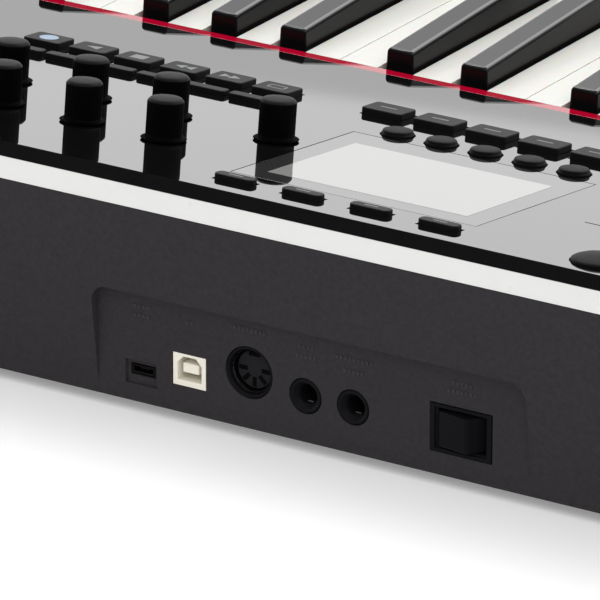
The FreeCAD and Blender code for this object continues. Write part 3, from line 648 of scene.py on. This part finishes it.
def usb_socket():
    """A square cream socket whose mouth has cut upper corners, over a thick lower lip."""
    low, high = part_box("usb_socket")
    middle = (low + high) / 2
    outer = [(-6.05, -5.35), (6.05, -5.35), (6.05, 3.2), (6.05, 5.35), (-6.05, 5.35), (-6.05, 3.2)]
    inner = [(-4.4, -3.4), (4.4, -3.4), (4.4, 2.2), (2.4, 4.4), (-2.4, 4.4), (-4.4, 2.2)]
    shape = framed_mouth(outer, inner, 0.0, -9.8)
    tongue = block((-2.9 * MM, -9.8 * MM, -1.1 * MM), (2.9 * MM, -0.8 * MM, 2.1 * MM))
    rounded(tongue, 0.35 * MM, segments=2)
    add(shape, tongue)
    rounded(shape, 0.12 * MM, segments=2, angle=50)
    place = Matrix.Translation((middle.x, high.y, middle.z))
    bmesh.ops.transform(shape, matrix=place, verts=shape.verts)
    smooth(shape)
    piece("usb_socket_shape", shape, "root", "cream", ["usb_socket"])


def round_socket():
    """The five-hole socket: an outer ring, a bright sleeve inside it and the insert, with flat dark marks on the
    insert as painted shade in its holes and keyway.
    """
    low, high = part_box("midi_socket")
    middle = (low + high) / 2
    place = Matrix.Translation((middle.x, high.y, middle.z)) @ FACING_REAR
    ring = [(0, -15), (8.5, -15), (8.5, -0.3), (8.2, 0), (7.7, 0), (7.4, -0.4), (7.2, -9), (0, -9)]
    sleeve = [(7.15, -8.8), (7.15, -1.6), (6.95, -1.5), (6.85, -1.7), (6.85, -8.8)]
    insert = [(0, -8.9), (6.2, -8.9), (6.2, -3.2), (6.0, -3.0), (0, -3.0)]
    for name, profile, material, stands_for in (("ring", ring, "black", ["midi_socket"]),
                                                ("sleeve", sleeve, "metal", ()),
                                                ("insert", insert, "insert", ())):
        shape = turned_shape(profile, steps=72)
        bmesh.ops.transform(shape, matrix=place, verts=shape.verts)
        smooth(shape)
        piece(f"round_socket_{name}", shape, "root", material, stands_for)
    # The holes and the keyway are not cut: flat dark marks lie on the insert face as painted shade.
    slots = bmesh.new()
    for turn in (-90, -45, 0, 45, 90):
        petal = bar(1.5, 3.2)
        bmesh.ops.translate(petal, vec=(0, 4.1 * MM, 0), verts=petal.verts)
        add(slots, petal, Matrix.Rotation(radians(turn), 4, "Z"))
    key = bar(4.2, 1.9)
    bmesh.ops.translate(key, vec=(0, -5.25 * MM, 0), verts=key.verts)
    add(slots, key)
    bmesh.ops.transform(slots, matrix=place @ Matrix.Translation((0, 0, -3.0 * MM)), verts=slots.verts)
    piece("round_socket_painted_hole_shadows", slots, "root", "hollow")


JACK_SPACING = 17.2 * MM


def jacks():
    """Two jack bushes whose mouths narrow to the bore, with a sprung contact low inside."""
    low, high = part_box("pedal_jacks")
    middle = (low + high) / 2
    profile = [(3.22, -29), (6.4, -29), (6.4, -6), (5.5, -5.9), (5.5, -0.2), (5.3, 0), (4.7, 0), (4.4, -0.2),
               (3.4, -1.6), (3.22, -2.0), (3.22, -29)]
    bushes = bmesh.new()
    contacts = bmesh.new()
    for side in (-1, 1):
        place = Matrix.Translation((middle.x + side * JACK_SPACING / 2, high.y, middle.z))
        add(bushes, turned_shape(profile, steps=64), place @ FACING_REAR)
        leaf = block((-1.1 * MM, -7.5 * MM, -3.2 * MM), (1.1 * MM, -3.2 * MM, -2.5 * MM))
        rounded(leaf, 0.25 * MM, segments=2)
        add(contacts, leaf, place)
    smooth(bushes)
    smooth(contacts)
    piece("jack_bushes", bushes, "root", "black", ["pedal_jacks"])
    piece("jack_contacts", contacts, "root", "metal")


def rocker():
    """The switch's rocker: a long flat face, a soft upright ridge and a steep face that falls inwards."""
    node = "power_rocker"
    low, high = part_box(node)
    ridge_across = -3.4
    outline = [(-6.2, -5.4), (6.3, -3.6), (7.5, 0.5), (ridge_across, 2.3), (-7.15, -3.1)]
    shape = flat_mark(outline, (high.z - low.z) / MM)
    ridge = []
    for edge in shape.edges:
        first, second = (vert.co for vert in edge.verts)
        if abs(first.z - second.z) > MM and abs(first.x - ridge_across * MM) < 0.01 * MM:
            ridge.append(edge)
    rounded(shape, 0.9 * MM, segments=5, edges=ridge)
    rounded(shape, 0.25 * MM, segments=2, angle=50)
    place = JOINTS[node]["pos_m"]
    bmesh.ops.translate(shape, vec=(place[0], place[1], low.z), verts=shape.verts)
    smooth(shape, angle=30)
    piece("power_rocker_shape", shape, node, "rocker", [node])


# Over each socket: how far along, how high and how many dashes in each row
RAISED_ROWS = {
    "power_socket": ((0, 35.6, 4), (0, 32.6, 4)),
    "usb_socket": ((0, 34.0, 2),),
    "midi_socket": ((0, 36.2, 8),),
    "pedal_jacks": ((8.6, 34.9, 4), (8.6, 31.9, 5), (-8.8, 34.5, 9), (-8.6, 30.5, 5)),
    "switch_housing": ((0, 34.9, 5), (0, 32.1, 7)),
}


def raised_marks():
    """Plain raised dashes moulded over each socket, in one or two short rows."""
    wall = JOINTS["power_rocker"]["pos_m"][1]
    pitch, width, height = 1.55, 0.95, 1.25
    sunk, proud = 0.1, 0.14
    marks = bmesh.new()
    for node, rows in RAISED_ROWS.items():
        low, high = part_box(node)
        for across, level, dashes in rows:
            row = block((0, -sunk * MM, 0), (width * MM, proud * MM, height * MM))
            copies(row, dashes, (pitch * MM, 0, 0))
            place = Vector(((low.x + high.x) / 2 + (across - pitch * dashes / 2) * MM, wall, level * MM))
            bmesh.ops.translate(row, vec=place, verts=row.verts)
            add(marks, row)
    # The dashes take the lighter copy of the case plastic: painted light on their tops.
    piece("raised_marks", marks, "root", "raised")


def sockets():
    raised_marks()
    usb_socket()
    rocker()
    round_socket()
    jacks()
    softened("power_socket", "dark_metal", 0.08 * MM)
    softened("switch_housing", "black", 0.18 * MM)
    softened("pitch_wheel", "rubber", 0.6 * MM)
    softened("mod_wheel", "rubber", 0.6 * MM)
    softened("rubber_feet", "foot", 0.6 * MM)


CARRIED_OVER = {
    "top_panel": "panel",
    "display_module": "black", "encoder_set": "metal", "control_board": "board", "tact_switches": "black",
    "fader_track": "metal", "key_chassis": "black", "pivot_rod": "metal", "key_felt": "felt",
    "contact_board": "board", "contact_strip": "silicone", "case_screws": "metal", "wheel_bracket": "black",
    "main_board": "board",
}


def carried_over():
    """The pieces whose own shape is right, each with its finish."""
    for node, material in CARRIED_OVER.items():
        NODES[node].data.materials.clear()
        NODES[node].data.materials.append(MATERIALS[material].material)


# ---------------------------------------------------------------- camera and light


def camera():
    place = Vector((-1.2233, 2.0906, 0.9524))
    forward = Vector((0.4997, -0.7854, -0.3652))
    lens = bpy.data.cameras.new("camera")
    lens.sensor_width = 36.0
    lens.lens = 485.57
    lens.clip_end = 20.0
    seen = bpy.data.objects.new("camera", lens)
    seen.location = place
    seen.rotation_euler = forward.to_track_quat("-Z", "Y").to_euler()
    bpy.context.scene.collection.objects.link(seen)
    bpy.context.scene.camera = seen


def area_light(name, place, target, size, power, mirrored=True):
    lamp = bpy.data.lights.new(name, "AREA")
    lamp.shape = "RECTANGLE"
    lamp.size, lamp.size_y = size
    lamp.energy = power
    light = bpy.data.objects.new(name, lamp)
    light.location = place
    light.visible_glossy = mirrored
    light.rotation_euler = (Vector(target) - Vector(place)).to_track_quat("-Z", "Y").to_euler()
    bpy.context.scene.collection.objects.link(light)


# How bright the studio is: evenly all round, and where gloss mirrors it
SOFT_LIGHT = 0.95
BRIGHT_WALL = 1.86
DARK_WALL = 0.05
CEILING = 0.4
# A broad softbox high on the side that the keys face
HIGH_SOFTBOX = 3.6
# Below this height the bright wall is this much dimmer
WALL_FOOT = 0.1308
DIM_FOOT = 0.68


def surroundings():
    """An even white studio. Gloss mirrors its bright wall in front, its dark wall behind and its ceiling."""
    world = bpy.data.worlds.new("studio")
    world.use_nodes = True
    sky = Network(world.node_tree)
    direction = sky.node("ShaderNodeTexCoord", "Generated")
    across, along, up = (sky.node("ShaderNodeSeparateXYZ", axis, Vector=direction) for axis in "XYZ")
    facing = sky.fade(0.5 * across - 0.87 * along, -0.1, 0.6, 0.0, 1.0)
    level = sky.fade(up, 0.16, 0.4, 1.0, 0.0)
    overhead = sky.fade(up, 0.2, 0.7, 0.0, CEILING - DARK_WALL)
    softbox_height = sky.fade(up, 0.3, 0.62, 0.0, HIGH_SOFTBOX) * sky.fade(up, 0.78, 0.92, 1.0, 0.0)
    softbox = softbox_height * sky.fade(along, -0.45, -0.05, 1.0, 0.0)
    foot = sky.fade(up, WALL_FOOT - 0.0008, WALL_FOOT + 0.0008, DIM_FOOT, 1.0)
    mirrored = DARK_WALL + (BRIGHT_WALL - DARK_WALL) * facing * level * foot + overhead + softbox
    glossy = sky.node("ShaderNodeLightPath", "Is Glossy Ray")
    strength = glossy * mirrored + (1 - glossy) * SOFT_LIGHT
    background = world.node_tree.nodes["Background"]
    background.inputs["Color"].default_value = (1, 1, 1, 1)
    sky.feed(background.inputs["Strength"], strength)
    bpy.context.scene.world = world


def studio():
    floor_edit = bmesh.new()
    bmesh.ops.create_grid(floor_edit, x_segments=1, y_segments=1, size=12.0)
    mesh = bpy.data.meshes.new("floor")
    floor_edit.to_mesh(mesh)
    floor_edit.free()
    floor = bpy.data.objects.new("floor", mesh)
    paper = mottled("floor_paper", (0.95, 0.95, 0.95), 0.8, spread=0.0, depth=0.0,
                    Emission_Color=(1.0, 1.0, 1.0), Emission_Strength=0.22)
    mesh.materials.append(paper.material)
    bpy.context.scene.collection.objects.link(floor)
    floor.visible_glossy = False
    surroundings()
    bpy.context.scene.view_settings.view_transform = "Standard"
    area_light("overhead_strip", (0.5, -0.7, 1.9), (0, 0, 0.1), (2.2, 0.3), 14.0)
    area_light("rear_softbox", (-1.8, 2.2, 2.2), (0, 0, 0.1), (1.6, 1.2), 12.0, mirrored=False)


keys()
knobs()
buttons()
display()
case()
sockets()
carried_over()
camera()
studio()
